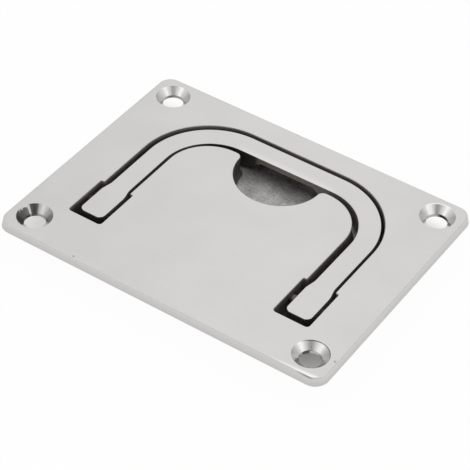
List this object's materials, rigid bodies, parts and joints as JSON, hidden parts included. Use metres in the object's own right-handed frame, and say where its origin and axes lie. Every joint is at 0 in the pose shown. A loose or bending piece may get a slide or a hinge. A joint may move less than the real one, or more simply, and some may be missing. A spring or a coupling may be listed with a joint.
{
  "type": "recessed hatch pull",
  "caption": "Flush hatch pull: a rectangular screw-down plate whose U-shaped pocket takes a bail handle that lifts on hinge pins, with a half-round finger cup.",
  "frame": {"origin": "centre of the screw pattern, on the flange's back face, where the plate seats on the hatch", "axes": "+X along the grip and the hinge line, +Y from the hinges to the grip, +Z out of the hatch"},
  "size_m": [0.0958, 0.0736, 0.0078],
  "materials": {
    "plate_stainless": "cast stainless steel, polished face and as-cast pocket",
    "handle_stainless": "cast stainless steel, polished",
    "pin_stainless": "drawn stainless steel rod, plain"
  },
  "bodies": {
    "plate": {"face_plate": "plate_stainless", "hinge_pin_left": "pin_stainless", "hinge_pin_right": "pin_stainless"},
    "handle": {"lift_handle": "handle_stainless"}
  },
  "joints": [
    {"name": "handle_lift", "type": "hinge", "parent": "plate", "child": "handle", "pos_m": [0, -0.0142, -0.00035], "axis": [1, 0, 0], "range_deg": [0, 90]}
  ]
}
